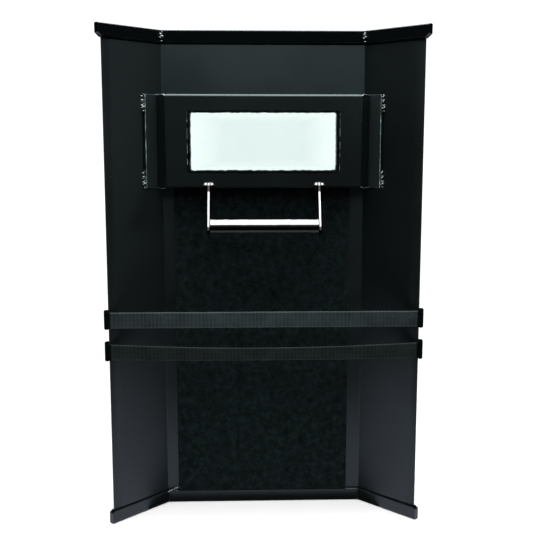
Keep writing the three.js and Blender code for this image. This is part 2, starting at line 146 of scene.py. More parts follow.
class ShieldStrapSettings(bpy.types.PropertyGroup):
    """The two webbing straps."""

    colour: tone("Webbing colour", "Colour of the woven strap", (0.042, 0.055, 0.057))
    width: length("Strap width", "Width of the webbing", 10, 60, 29)
    thickness: length("Webbing thickness", "Thickness of the webbing", 1, 4, 2.1)
    rib_pitch: length("Rib pitch", "Distance between the ribs across the webbing", 1, 10, 3.1)
    rib_height: length("Rib height", "Depth of the ribs", 0, 1, 0.13)
    sag: length("Lower strap sag", "How far the slack lower strap hangs", 0, 30, 5.6)
    tilt: FloatProperty(
        name="Lower strap tilt", description="How far the slack lower strap leans forward",
        subtype="ANGLE", min=0, max=1, default=math.radians(25))
    stitch: length("Stitch length", "Length of one stitch", 0.5, 6, 2.6)


class ShieldStageSettings(bpy.types.PropertyGroup):
    """The camera, the floor and the lights."""

    lens: FloatProperty(
        name="Lens", description="Focal length in millimetres", subtype="DISTANCE_CAMERA",
        min=10, max=300, default=56.0)
    overhead: watts("Overhead light", "the overhead softbox", 190.0)
    front: watts("Front light", "the high front softbox", 40.0)
    side: watts("Side light", "the tall softbox on the right", 1.3)
    steel: watts("Steel lights", "the soft light on the polished steel", 14.0)
    bounce: watts("Floor bounce", "the light that the floor returns to the coat", 2.85)
    room: watts("Room glow", "the wide dim light before the shield", 4.5)
    rear: watts("Rear lights", "the soft light on the strike side", 17.0)
    fill: FloatProperty(
        name="Fill", description="Strength of the light from all round", min=0, default=0.015)
    floor_radius: FloatProperty(
        name="Floor radius", description="Radius of the pale floor", unit="LENGTH", min=0.5, default=0.95)


class ShieldLooks(bpy.types.PropertyGroup):
    """All of the shield's settings."""

    coat: PointerProperty(type=ShieldCoatSettings)
    weld: PointerProperty(type=ShieldWeldSettings)
    metal: PointerProperty(type=ShieldMetalSettings)
    window: PointerProperty(type=ShieldWindowSettings)
    pad: PointerProperty(type=ShieldPadSettings)
    strap: PointerProperty(type=ShieldStrapSettings)
    stage: PointerProperty(type=ShieldStageSettings)


def looks():
    return bpy.context.scene.shield_looks


# ---------------------------------------------------------------- node wiring

class Wiring:
    """Adds nodes to a tree. Inputs are named, or numbered where a node repeats a name."""

    def __init__(self, tree):
        self.tree = tree

    def add(self, kind, settings=None, inputs=None):
        node = self.tree.nodes.new(kind)
        for key, value in (settings or {}).items():
            setattr(node, key, value)
        for key, value in (inputs or {}).items():
            self.feed(node.inputs[key], value)
        return node

    def get(self, kind, settings=None, inputs=None, output=0):
        """A new node's output, the first unless another is named."""
        return self.add(kind, settings, inputs).outputs[output]

    def feed(self, socket, value):
        if isinstance(value, bpy.types.NodeSocket):
            self.tree.links.new(value, socket)
        else:
            socket.default_value = value

    def math(self, operation, *values):
        return self.get("ShaderNodeMath", {"operation": operation}, dict(enumerate(values)))

    def scaled(self, vector, factor):
        return self.get("ShaderNodeVectorMath", {"operation": "SCALE"}, {0: vector, "Scale": factor})


class Finish(Wiring):
    """A material with its principled shader, and the texture steps that the finishes share."""

    def __init__(self, name):
        self.material = bpy.data.materials.new(name)
        self.material.use_nodes = True
        super().__init__(self.material.node_tree)
        self.shader = self.tree.nodes["Principled BSDF"]

    def set(self, **values):
        for key, value in values.items():
            self.feed(self.shader.inputs[key.replace("_", " ")], value)

    def cool(self):
        """A faint sea-green cast in the reflections, as black coats and nylon have."""
        self.shader.inputs["Specular Tint"].default_value = COOL_CAST

    def place(self, scale=(1, 1, 1), output="Object"):
        coords = self.get("ShaderNodeTexCoord", output=output)
        return self.get("ShaderNodeMapping", None, {"Vector": coords, "Scale": scale})

    def carried(self, name):
        """A number that the mesh carries."""
        return self.get("ShaderNodeAttribute", {"attribute_name": name}, None, "Fac")

    def axes(self):
        return self.add("ShaderNodeSeparateXYZ", None, {"Vector": self.place()}).outputs

    def noise(self, where, scale, detail=2.0, roughness=0.5):
        return self.add("ShaderNodeTexNoise", None, {
            "Vector": where, "Scale": scale, "Detail": detail, "Roughness": roughness}).outputs["Fac"]

    def spread(self, value, low, high, start=0.35, end=0.65):
        return self.add("ShaderNodeMapRange", None, {
            "Value": value, "From Min": start, "From Max": end,
            "To Min": low, "To Max": high}).outputs["Result"]

    def blend(self, amount, first, second):
        node = self.add("ShaderNodeMix", {"data_type": "RGBA"}, {0: amount})
        self.feed(node.inputs[6], first)
        self.feed(node.inputs[7], second)
        return node.outputs[2]

    def relief(self, *layers):
        """Each layer is (height, depth in metres); they are stacked from the first."""
        normal = None
        for height, depth in layers:
            bump = self.add("ShaderNodeBump", None, {"Height": height, "Distance": depth, "Strength": 1.0})
            if normal:
                self.feed(bump.inputs["Normal"], normal)
            normal = bump.outputs["Normal"]
        self.feed(self.shader.inputs["Normal"], normal)


def opaque(colour, gain=1.0):
    return tuple(min(1.0, c * gain) for c in colour) + (1.0,)


def coat_finish(name, roughness, edge_gain=5.0, gain=1.0):
    """Satin powder coat: orange peel, faint drifts of gloss, and its rounded edges painted lighter: a little
    as wear, and much more as painted highlight where the edge gain is high.
    """
    coat = looks().coat
    f = Finish(name)
    where = f.place()
    drift = f.noise(where, 7.0, 3.0)
    grain = f.noise(where, 900.0, 2.0)
    # The rounded-edge mask: where it is set the coat is painted lighter, partly as wear and, at a high edge
    # gain, as painted highlight.
    painted_light = f.carried("brightening")
    patchy = f.math("MULTIPLY", painted_light, f.spread(f.noise(where, 60.0, 3.0), 0.1, 0.8))
    base = f.blend(f.spread(grain, 0.0, 1.0), opaque(coat.colour, 0.7 * gain),
                   opaque(coat.colour, 1.35 * gain))
    f.set(Base_Color=f.blend(patchy, base, opaque(coat.colour, edge_gain)),
          Roughness=f.math("SUBTRACT", f.spread(drift, roughness - 0.03, roughness + 0.03),
                           f.math("MULTIPLY", patchy, 0.08)))
    f.cool()
    f.relief((f.noise(where, 330.0, 2.0, 0.45), coat.peel), (grain, coat.peel * 0.25))
    return f.material


def weld_finish(name):
    """Glossy coat lying thick over weld metal."""
    coat = looks().coat
    f = Finish(name)
    where = f.place()
    pits = f.noise(where, 420.0, 4.0, 0.6)
    f.set(Base_Color=f.blend(f.spread(pits, 0, 1), opaque(coat.colour, 0.8), opaque(coat.colour, 40.0)),
          Roughness=f.spread(pits, 0.06, 0.22), Coat_Weight=1.0, Coat_Roughness=0.08,
          Specular_IOR_Level=0.8)
    f.relief((pits, 0.5 * MM), (f.noise(where, 1500.0, 2.0), 0.06 * MM))
    return f.material


def steel_finish(name, with_painted_bands=True):
    """Polished stainless with the fine lines of its last buff, and painted dark bands that stand in for shade
    and dark reflections: under the lug heads, across the grip's lower middle and on the arms below it.
    """
    metal = looks().metal
    f = Finish(name)
    lines = f.noise(f.place((1, 60, 60)), 45.0, 4.0, 0.65)
    smear = f.noise(f.place(), 45.0, 3.0)
    low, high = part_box("handle_lug_left")
    at = f.axes()
    z = at["Z"]
    # Painted shade: a dark band from just under the lug heads up to their middle.
    below = f.spread(z, 0, 1, low.z - 5 * MM, low.z - 3.5 * MM)
    above = f.spread(z, 1, 0, low.z + 0.5 * (high.z - low.z), low.z + 0.72 * (high.z - low.z))
    bare = f.blend(f.spread(smear, 0, 1), opaque(metal.colour, 0.9), opaque(metal.colour, 1.08))
    tube_low, tube_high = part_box("handle_grip_tube")
    middle, radius = (tube_low.z + tube_high.z) / 2, (tube_high.z - tube_low.z) / 2
    # Painted dark reflection: a band across the grip's lower middle and down the arms below the grip's
    # middle; the grip's bottom stays bright.
    grip = f.spread(z, 1, 0, middle - 0.12 * radius, middle + 0.12 * radius)
    within = f.math("LESS_THAN", f.math("ABSOLUTE", at["X"]), tube_high.x + 0.2 * MM)
    belly = f.math("MULTIPLY", within, f.spread(z, 1, 0, middle - 0.52 * radius, middle - 0.4 * radius))
    grip = f.math("SUBTRACT", grip, belly)
    painted_dark_bands = f.math("MAXIMUM", f.math("MULTIPLY", below, above), grip)
    f.set(Base_Color=f.blend(painted_dark_bands if with_painted_bands else 0.0, bare, opaque(metal.colour, 0.07)),
          Metallic=1.0,
          Roughness=f.math("ADD", f.spread(smear, metal.roughness - 0.04, metal.roughness + 0.05),
                           f.spread(lines, -0.02, 0.03)))
    f.relief((lines, 0.012 * MM))
    return f.material


def glass_finish(name, tint, ior):
    """Clear sheet with a faint film on it, painted paler towards its edges as painted light."""
    f = Finish(name)
    film = f.noise(f.place(), 28.0, 4.0, 0.6)
    # Painted light: the tint turns paler towards the glass's edges, where light through them shows.
    low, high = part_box("window_strike_glass")
    at = f.axes()
    wide = f.math("DIVIDE", f.math("ABSOLUTE", at["X"]), high.x)
    tall = f.math("DIVIDE", f.math("ABSOLUTE", f.math("SUBTRACT", at["Z"], (low.z + high.z) / 2)),
                  (high.z - low.z) / 2)
    painted_bright_border = f.spread(f.math("MAXIMUM", wide, tall), 0.0, 0.8, 0.5, 0.9)
    clear = f.blend(painted_bright_border, opaque(tint), (0.91, 0.975, 0.955, 1.0))
    f.set(Base_Color=f.blend(f.spread(film, 0.06, 0), clear, (0.7, 0.74, 0.74, 1.0)),
          Roughness=f.spread(film, 0.0, 0.012), IOR=ior, Transmission_Weight=1.0)
    return f.material


def rubber_finish(name):
    """Dull sealant and gasket rubber."""
    f = Finish(name)
    where = f.place()
    skin = f.noise(where, 260.0, 4.0, 0.6)
    f.set(Base_Color=f.blend(f.spread(skin, 0, 1), (0.0006, 0.0009, 0.001, 1), (0.002, 0.0028, 0.003, 1)),
          Roughness=f.spread(skin, 0.5, 0.75), Specular_IOR_Level=0.03)
    f.cool()
    f.relief((skin, 0.18 * MM))
    return f.material


def pile_finish(name):
    """Short dense pile over foam: no shine, a little bloom at the edges."""
    pad = looks().pad
    f = Finish(name)
    where = f.place()
    tufts = f.noise(where, 950.0, 3.0, 0.7)
    clumps = f.noise(where, 75.0, 5.0, 0.8)
    brushed = f.noise(f.place((1, 1, 0.5)), 30.0, 5.0, 0.7)
    base = f.blend(f.spread(tufts, 0, 1), opaque(pad.colour, 0.3), opaque(pad.colour, 1.3))
    base = f.blend(f.spread(brushed, 0, 0.7), base, opaque(pad.colour, 2.2))
    f.set(Base_Color=f.blend(f.spread(clumps, 0, 0.7, 0.42, 0.66), base, opaque(pad.colour, 8.0)),
          Roughness=f.spread(tufts, 0.86, 1.0), Specular_IOR_Level=0.08,
          Sheen_Weight=0.03, Sheen_Roughness=0.5)
    f.cool()
    f.relief((brushed, 1.2 * MM), (clumps, 0.9 * MM), (tufts, 0.3 * MM))
    return f.material


def weave_finish(name):
    """Nylon webbing: threads crossing the strap, read along the piece's own map in metres."""
    strap = looks().strap
    f = Finish(name)
    run = f.place(output="UV")
    picks = f.add("ShaderNodeTexWave", {"wave_type": "BANDS", "bands_direction": "X"}, {
        "Vector": run, "Scale": 0.5 / (1.1 * MM) / 10, "Distortion": 0.6, "Detail": 1.0,
        "Detail Scale": 2.0}).outputs["Fac"]
    ends = f.add("ShaderNodeTexWave", {"wave_type": "BANDS", "bands_direction": "Y"}, {
        "Vector": run, "Scale": 0.5 / (1.4 * MM) / 10, "Distortion": 0.8, "Detail": 1.0}).outputs["Fac"]
    fibre = f.noise(run, 900.0, 3.0, 0.7)
    weave = f.math("MULTIPLY", picks, f.math("ADD", f.math("MULTIPLY", ends, 0.6), 0.4))
    brightening = f.noise(run, 30.0, 3.0)
    # The mesh's painted light: near black where it paints shade, the woven colour where it is lit.
    painted_light = f.carried("painted_light")
    base = f.blend(f.spread(weave, 0, 1, 0.1, 0.8), opaque(strap.colour, 0.7), opaque(strap.colour, 1.1))
    base = f.blend(f.spread(brightening, 0, 0.35), base, opaque(strap.colour, 1.9))
    f.set(Base_Color=f.blend(painted_light, (0.0008, 0.0012, 0.0013, 1), base),
          Roughness=f.spread(fibre, 0.6, 0.85), Specular_IOR_Level=0.04,
          Sheen_Weight=0.02, Sheen_Roughness=0.4)
    f.cool()
    f.relief((weave, 0.16 * MM), (fibre, 0.08 * MM))
    return f.material


def thread_finish(name):
    """Sewing thread, a shade paler than the strap."""
    strap = looks().strap
    f = Finish(name)
    twist = f.noise(f.place(), 1600.0, 2.0)
    f.set(Base_Color=f.blend(f.spread(twist, 0, 1), opaque(strap.colour, 0.35), opaque(strap.colour, 0.9)),
          Roughness=f.spread(twist, 0.5, 0.7), Specular_IOR_Level=0.3)
    f.relief((twist, 0.06 * MM))
    return f.material


def moulded_finish(name):
    """Moulded nylon with a fine spark texture."""
    f = Finish(name)
    where = f.place()
    spark = f.noise(where, 1300.0, 2.0, 0.6)
    f.set(Base_Color=f.blend(f.spread(f.noise(where, 90.0, 2.0), 0, 1),
                             (0.0085, 0.0085, 0.009, 1), (0.013, 0.013, 0.0135, 1)),
          Roughness=f.spread(spark, 0.36, 0.5))
    f.relief((spark, 0.035 * MM))
    return f.material


def floor_finish(name):
    """Plain pale seamless floor."""
    f = Finish(name)
    f.set(Base_Color=f.blend(f.spread(f.noise(f.place(), 3.0, 3.0), 0, 1),
                             (0.66, 0.66, 0.66, 1), (0.69, 0.69, 0.69, 1)),
          Roughness=0.75, Specular_IOR_Level=0.2)
    return f.material


FINISHES = {
    # The plate's folds (edge gain 22) and the pan's edges (edge gain 320) carry painted highlight; the
    # flanges' whole coat is painted five times lighter, as painted light where the pan shades them.
    "satin_black": lambda name: coat_finish(name, looks().coat.roughness, 22.0),
    "pan_black": lambda name: coat_finish(name, looks().coat.pan_roughness, 320.0),
    "flange_black_painted_paler": lambda name: coat_finish(name, looks().coat.roughness, 5.0, 5.0),
    "rail_black": lambda name: coat_finish(name, looks().coat.rail_roughness),
    "low_rail_black": lambda name: coat_finish(name, looks().coat.roughness * 0.85),
    "weld_black": weld_finish,
    "stainless": steel_finish,
    "stainless_rod": lambda name: steel_finish(name, False),
    "armour_glass": lambda name: glass_finish(name, looks().window.tint, 1.52),
    "clear_liner": lambda name: glass_finish(name, looks().window.liner_tint, 1.58),
    "black_rubber": rubber_finish,
    "black_felt": pile_finish,
    "black_webbing": weave_finish,
    "strap_thread": thread_finish,
    "black_plastic": moulded_finish,
    "studio_floor": floor_finish,
}


def finish(slot):
    """The dressed material for a slot, made once."""
    name = "dressed_" + slot
    return bpy.data.materials.get(name) or FINISHES[slot](name)


# ---------------------------------------------------------------- mesh making

def settle(mesh, crease=32.0):
    """Smooth shading, broken where faces meet at more than the crease, in degrees."""
    mesh.shade_smooth()
    mesh.set_sharp_from_angle(angle=math.radians(crease))


def in_scene(name, data):
    thing = bpy.data.objects.new(name, data)
    bpy.context.scene.collection.objects.link(thing)
    return thing


def lit_group(name):
    """The pieces that one set of lights falls on."""
    return bpy.data.collections.get(name) or bpy.data.collections.new(name)


def sort_for_light(piece, slot):
    """Puts a piece in the groups that light it. All are lit from behind and polished steel by softboxes of
    its own, the top rails only from overhead, and the plate and bottom rails by the floor's glow too."""
    lit_group("polished" if slot == "stainless" else "unpolished").objects.link(piece)
    lit_group("back").objects.link(piece)
    if slot != "stainless" and not piece.name.startswith("top_rail"):
        lit_group("facing").objects.link(piece)
    if piece.name.startswith(("shield_plate", "bottom_rail")):
        lit_group("low").objects.link(piece)


def new_piece(name, mesh, slot, body, stands_for=(), look=None):
    """Links a finished mesh in place: its finish, its body and the CAD nodes that it stands for."""
    piece = in_scene(name, mesh)
    mesh.materials.clear()
    mesh.materials.append(finish(look or slot))
    sort_for_light(piece, slot)
    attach(piece, body)
    if stands_for:
        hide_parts(*stands_for)
    return piece


def baked(name, mesh, add_modifiers):
    """The mesh with its modifiers worked in."""
    scratch = in_scene(name + "_scratch", mesh)
    add_modifiers(scratch)
    shape = scratch.evaluated_get(bpy.context.evaluated_depsgraph_get())
    result = bpy.data.meshes.new_from_object(
        shape, preserve_all_data_layers=True, depsgraph=bpy.context.evaluated_depsgraph_get())
    scratch.modifiers.clear()
    bpy.data.objects.remove(scratch)
    result.name = name
    return result


def weigh_normals(scratch):
    """Flat faces keep flat shading beside rounded edges."""
    modifier = scratch.modifiers.new("even shading", "WEIGHTED_NORMAL")
    modifier.keep_sharp = True
    modifier.weight = 80


def mesh_from(bm, name, crease=32.0):
    mesh = bpy.data.meshes.new(name)
    bm.to_mesh(mesh)
    bm.free()
    settle(mesh, crease)
    return mesh


def on_fold(edge, low, high):
    """Whether an edge is one of the rail's long folds, along its top or bottom face."""
    a, b = (v.co for v in edge.verts)
    level = abs(a.z - b.z) < SAME_PLACE and min(abs(a.z - low.z), abs(a.z - high.z)) < SAME_PLACE
    return level and (b - a).length > 20 * MM


def eased_copy(node, body, slot, ease, segments=2, sharp=32.0, look=None, fold=None):
    """A merged copy of a CAD node with its sharp edges rounded, standing for the node."""
    name = node + "_finished"
    source = NODES[node].data
    loose = bpy.data.meshes.new("loose")
    loose.from_pydata([v.co[:] for v in source.vertices], [], [p.vertices[:] for p in source.polygons])
    bm = bmesh.new()
    bm.from_mesh(loose)
    bmesh.ops.remove_doubles(bm, verts=bm.verts, dist=2e-6)
    bmesh.ops.dissolve_limit(bm, angle_limit=math.radians(0.5), verts=bm.verts, edges=bm.edges)
    # Marks the rounded faces; the coat paints them lighter, as wear and as painted highlight.
    brightening = bm.loops.layers.float.new("brightening")

    def round_off(edges, radius, steps):
        made = bmesh.ops.bevel(bm, geom=edges, offset=radius, segments=steps, profile=0.5,
                               affect="EDGES", clamp_overlap=False)
        for face in made["faces"]:
            for loop in face.loops:
                loop[brightening] = 1.0

    def corners():
        return [e for e in bm.edges
                if len(e.link_faces) == 2 and e.calc_face_angle(0) > math.radians(sharp)]

    if node == "shield_plate":                   # its upright folds, left and right
        # The folds' rounded faces are marked, so the coat paints a highlight line down each fold.
        tall = [e for e in bm.edges if abs(e.verts[0].co.z - e.verts[1].co.z) > 0.4]
        round_off([e for e in tall if 0.5 < e.calc_face_angle(0) < 1.0], 2.5 * MM, 5)
    if fold:
        low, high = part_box(node)
        round_off([e for e in corners() if on_fold(e, low, high)], fold, 6)
    shortest = 12 * MM if fold else 0.0          # a rail's mitred ends stay crisp under their welds
    round_off([e for e in corners() if e.calc_length() > shortest], ease, segments)
    mesh = baked(name, mesh_from(bm, name, 40.0), weigh_normals)
    return new_piece(name, mesh, slot, body, [node], look)


def recoat(node, slot, look=None):
    """A CAD node whose shape is right keeps it, and takes the dressed finish."""
    sort_for_light(NODES[node], slot)
    for spot in NODES[node].material_slots:
        spot.material = finish(look or slot)


def closed_shell(bm):
    bmesh.ops.recalc_face_normals(bm, faces=bm.faces)
    return bm


def skin_rings(rings, closed_run=False):
    """A shell through rings of points; open runs are capped at both ends."""
    bm = bmesh.new()
    made = [[bm.verts.new(p) for p in ring] for ring in rings]
    count = len(made[0])
    last = len(made) if closed_run else len(made) - 1
    for i in range(last):
        here, after = made[i], made[(i + 1) % len(made)]
        for k in range(count):
            n = (k + 1) % count
            bm.faces.new((here[k], here[n], after[n], after[k]))
    if not closed_run:
        bm.faces.new(made[0][::-1])
        bm.faces.new(made[-1])
    return closed_shell(bm)


def around(count):
    """Angles evenly spaced round a circle."""
    return [2 * math.pi * k / count for k in range(count)]


def turned(name, outline, axis_y, axis_z, sides=96):
    """A part turned about an axis along x. The outline is a closed loop of (x, radius)."""
    rings = []
    for angle in around(sides):
        c, s = math.cos(angle), math.sin(angle)
        rings.append([(x, axis_y + r * c, axis_z + r * s) for x, r in outline])
    return mesh_from(skin_rings(rings, True), name, 50.0)


def rounded_path(corners, radii, closed=False, steps=10):
    """The corners in order, with each turn rounded to its radius."""
    points = [Vector(c) for c in corners]
    count = len(points)
    path = [] if closed else [points[0]]
    turns = range(count) if closed else range(1, count - 1)
    for i, radius in zip(turns, radii):
        here, before, after = points[i], points[i - 1], points[(i + 1) % count]
        back, on = (before - here).normalized(), (after - here).normalized()
        half = back.angle(on) / 2
        centre = here + (back + on).normalized() * (radius / math.sin(half))
        start = here + back * (radius / math.tan(half)) - centre
        end = here + on * (radius / math.tan(half)) - centre
        sweep = start.angle(end)
        for k in range(steps + 1):
            t = k / steps
            arm = start * math.sin((1 - t) * sweep) + end * math.sin(t * sweep)
            path.append(centre + arm / math.sin(sweep))
    if not closed:
        path.append(points[-1])
    return path


def resampled(path, step, closed=False):
    """The path at even steps: (points, distance along at each, unit tangents), as arrays."""
    points = np.array([p[:] for p in path] + ([path[0][:]] if closed else []), float)
    run = np.concatenate([[0], np.cumsum(np.linalg.norm(np.diff(points, axis=0), axis=1))])
    count = max(2, int(round(run[-1] / step)))
    along = np.linspace(0, run[-1], count + 1)
    even = np.column_stack([np.interp(along, run, points[:, k]) for k in range(points.shape[1])])
    if closed:
        even, along = even[:-1], along[:-1]
        tangent = np.roll(even, -1, 0) - np.roll(even, 1, 0)
    else:
        tangent = np.gradient(even, axis=0)
    return even, along, tangent / np.linalg.norm(tangent, axis=1)[:, None]


def wing_point(side, along, offset):
    """A point in plan on a wing: along it from the fold, and off its rear face towards the strike side."""
    c, s = math.cos(FOLD), math.sin(FOLD)
    return (side * (HALF_CENTRE + along * c + offset * s), PLAN_Y - along * s + offset * c)


def plan_line(reach, off, radius):
    """The plate's bent line in plan, from wing to wing, held off its rear face and rounded at the folds."""
    bend = math.tan(FOLD / 2) * off
    corners = [wing_point(-1, reach, off), (-HALF_CENTRE - bend, PLAN_Y + off),
               (HALF_CENTRE + bend, PLAN_Y + off), wing_point(1, reach, off)]
    return rounded_path(corners, [radius] * 2)


# ---------------------------------------------------------------- geometry node trees

def new_tree(name, inputs):
    """A geometry node tree with named inputs, each (name, kind of socket, default)."""
    tree = bpy.data.node_groups.new(name, "GeometryNodeTree")
    tree.interface.new_socket("Geometry", in_out="INPUT", socket_type="NodeSocketGeometry")
    for label, kind, default in inputs:
        socket = tree.interface.new_socket(label, in_out="INPUT", socket_type="NodeSocket" + kind)
        if default is not None:
            socket.default_value = default
    tree.interface.new_socket("Geometry", in_out="OUTPUT", socket_type="NodeSocketGeometry")
    w = Wiring(tree)
    return tree, w, w.add("NodeGroupInput").outputs, w.add("NodeGroupOutput")


def bead_row_tree():
    """Rounded beads set end to end along a line: weld ripples when they overlap, stitches when they don't."""
    tree = bpy.data.node_groups.get("bead_row")
    if tree:
        return tree
    tree, w, given, out = new_tree("bead_row", [
        ("Spacing", "Float", 0.002), ("Length", "Float", 0.003), ("Width", "Float", 0.004),
        ("Height", "Float", 0.002), ("Scatter", "Float", 0.1), ("Wander", "Float", 0.0),
        ("Lean", "Float", 0.0), ("Facing", "Vector", (0, -1, 0)), ("Seed", "Int", 7),
        ("Finish", "Material", None)])

    def chance(low, high, later, kind="FLOAT", output=1):
        """A random value for each bead, from the seed and a number added to it."""
        return w.get("FunctionNodeRandomValue", {"data_type": kind}, {
            "Min": low, "Max": high, "Seed": w.math("ADD", given["Seed"], later)}, output)

    line = w.get("GeometryNodeMeshToCurve", None, {"Mesh": given["Geometry"]})
    spaced = w.get("GeometryNodeResampleCurve", {"mode": "LENGTH"}, {
        "Curve": line, "Length": given["Spacing"]})
    aim = w.get("FunctionNodeAxesToRotation", {"primary_axis": "X", "secondary_axis": "Z"}, {
        "Primary Axis": w.get("GeometryNodeInputTangent"), "Secondary Axis": given["Facing"]})
    wobble = chance(w.math("MULTIPLY", given["Scatter"], -1.0), given["Scatter"], 0.0)
    tilt = w.get("ShaderNodeCombineXYZ", None, {
        "X": wobble, "Y": w.math("ADD", given["Lean"], wobble)})
    turn = w.get("FunctionNodeRotateRotation", {"rotation_space": "LOCAL"}, {
        "Rotation": aim, "Rotate By": tilt})
    size = w.get("ShaderNodeCombineXYZ", None, {
        "X": w.math("MULTIPLY", given["Length"], 0.5), "Y": w.math("MULTIPLY", given["Width"], 0.5),
        "Z": given["Height"]})
    scale = w.scaled(size, chance(w.math("SUBTRACT", 1.0, given["Scatter"]), 1.0, 1.0))
    stray = chance((-1.0, -1.0, -1.0), (1.0, 1.0, 1.0), 2.0, "FLOAT_VECTOR", 0)
    strewn = w.get("GeometryNodeSetPosition", None, {
        "Geometry": spaced, "Offset": w.scaled(stray, given["Wander"])})
    bead = w.get("GeometryNodeMeshUVSphere", None, {"Segments": 12, "Rings": 8, "Radius": 1.0})
    placed = w.get("GeometryNodeInstanceOnPoints", None, {
        "Points": strewn, "Instance": bead, "Rotation": turn, "Scale": scale})
    real = w.get("GeometryNodeRealizeInstances", None, {"Geometry": placed})
    smooth = w.get("GeometryNodeSetShadeSmooth", None, {"Geometry": real})
    coated = w.get("GeometryNodeSetMaterial", None, {"Geometry": smooth, "Material": given["Finish"]})
    w.feed(out.inputs["Geometry"], coated)
    return tree


def webbing_tree():
    """Raises ribs across a strip that carries its own distance along and place across."""
    tree = bpy.data.node_groups.get("webbing_ribs")
    if tree:
        return tree
    tree, w, given, out = new_tree("webbing_ribs", [
        ("Rib pitch", "Float", 0.004), ("Rib height", "Float", 0.0003), ("Finish", "Material", None)])
    along, across = (w.get("GeometryNodeInputNamedAttribute", {"data_type": "FLOAT"}, {"Name": name},
                           "Attribute") for name in ("along", "across"))
    rib = w.math("ABSOLUTE", w.math("SINE", w.math(
        "DIVIDE", w.math("MULTIPLY", along, math.pi), given["Rib pitch"])))
    edge = w.math("POWER", w.math("ABSOLUTE", across), 6.0)
    lift = w.math("MULTIPLY", w.math("MULTIPLY", w.math("SUBTRACT", rib, 0.6),
                                     w.math("SUBTRACT", 1.0, edge)), given["Rib height"])
    push = w.scaled(w.get("GeometryNodeInputNormal", output="Normal"), lift)
    moved = w.get("GeometryNodeSetPosition", None, {"Geometry": given["Geometry"], "Offset": push})
    real = w.get("GeometryNodeRealizeInstances", None, {"Geometry": moved})
    coated = w.get("GeometryNodeSetMaterial", None, {"Geometry": real, "Material": given["Finish"]})
    w.feed(out.inputs["Geometry"], coated)
    return tree


def grown(name, mesh, tree, values):
    """The mesh put through a tree, with the tree's inputs set by name."""
    def add_tree(scratch):
        modifier = scratch.modifiers.new(tree.name, "NODES")
        modifier.node_group = tree
        for item in tree.interface.items_tree:
            if item.in_out == "INPUT" and item.name in values:
                modifier[item.identifier] = values[item.name]
    return baked(name, mesh, add_tree)


def line_mesh(lines):
    """Edges through each list of points."""
    mesh = bpy.data.meshes.new("lines")
    points, edges = [], []
    for line in lines:
        edges += [(len(points) + i, len(points) + i + 1) for i in range(len(line) - 1)]
        points += [tuple(p) for p in line]
    mesh.from_pydata(points, edges, [])
    return mesh


def bead_row(name, lines, slot, body, values, stands_for=(), look=None):
    mesh = grown(name, line_mesh(lines), bead_row_tree(),
                 {**values, "Finish": finish(look or slot), "Seed": looks().weld.seed})
    return new_piece(name, mesh, slot, body, stands_for, look)


# ---------------------------------------------------------------- the plate, rails and pan

RAILS = [f"{row}_rail_{part}" for row in ("top", "bottom") for part in ("left", "centre", "right")]


def make_plate():
    eased_copy("shield_plate", "shield", "satin_black", 0.5 * MM, sharp=60)


def shadow_caulk_line(name, z):
    """A thin black line of caulk where the plate goes into its rails, from wing to wing: a dark bead standing
    in for the shadow line at the rail's lip.
    """
    line, along, tangent = resampled(plan_line(SHADOW_CAULK_REACH, -0.45 * MM, 4 * MM), 2 * MM)
    rings = []
    for (x, y), s, (tx, ty) in zip(line, along, tangent):
        swell = 1 + 0.25 * noise.noise(Vector((s * 120, z * 40, 0.3)))
        rings.append([(x + ty * 0.9 * MM * math.cos(a) * swell, y - tx * 0.9 * MM * math.cos(a) * swell,
                       z + 1.25 * MM * math.sin(a) * swell) for a in around(8)])
    rubber_run(name, rings)


def rubber_run(name, rings, closed_run=False, stands_for=()):
    mesh = mesh_from(skin_rings(rings, closed_run), name, 50.0 if closed_run else 60.0)
    new_piece(name, mesh, "black_rubber", "shield", stands_for)


def make_rails():
    low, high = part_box("bottom_rail_centre")[1].z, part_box("top_rail_centre")[0].z
    # Painted shadow: dark beads under the top rails and above the bottom rails.
    shadow_caulk_line("bottom_rail_shadow_caulk", low + 0.7 * MM)
    shadow_caulk_line("top_rail_shadow_caulk", high - 0.8 * MM)
    for node in RAILS:
        eased_copy(node, "shield", "satin_black", looks().coat.edge_ease, 3, fold=looks().coat.fold,
                   look="rail_black" if node.startswith("top") else "low_rail_black")


def make_pan():
    """The pan; its flanges lie on the wings and were sprayed with them, yet their coat is painted lighter, as
    painted light where the pan shades them. Caulk between the welds is a dark bead standing in for the shadow
    line along each flange's outer edge.
    """
    pan = eased_copy("viewport_pan", "shield", "satin_black", 0.55 * MM, 2, look="pan_black")
    pan.data.materials.append(finish("flange_black_painted_paler"))
    for face in pan.data.polygons:
        face.material_index = 1 if abs(face.normal.x) > 0.5 and abs(face.center.x) > FLANGE_X else 0
    # Painted shadow: a dark bead down each flange's outer edge, between the welds.
    for side in ("left", "right"):
        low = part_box("pan_weld_bottom_" + side)
        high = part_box("pan_weld_top_" + side)
        x, y = (low[0].x + low[1].x) / 2, (low[0].y + low[1].y) / 2
        rings = []
        for k in range(45):
            z = low[1].z + (high[0].z - low[1].z) * k / 44
            swell = MM * (0.9 + 0.3 * noise.noise(Vector((x * 9, z * 130, 0.5))))
            rings.append([(x + swell * math.cos(a), y + swell * math.sin(a), z) for a in around(8)])
        rubber_run("pan_shadow_caulk_" + side, rings)


def weld_line(node, inset):
    """The upright line through a CAD weld, from end to end."""
    low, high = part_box(node)
    x, y = (low.x + high.x) / 2, (low.y + high.y) / 2
    return [(x, y, low.z + inset), (x, y, (low.z + high.z) / 2), (x, y, high.z - inset)]


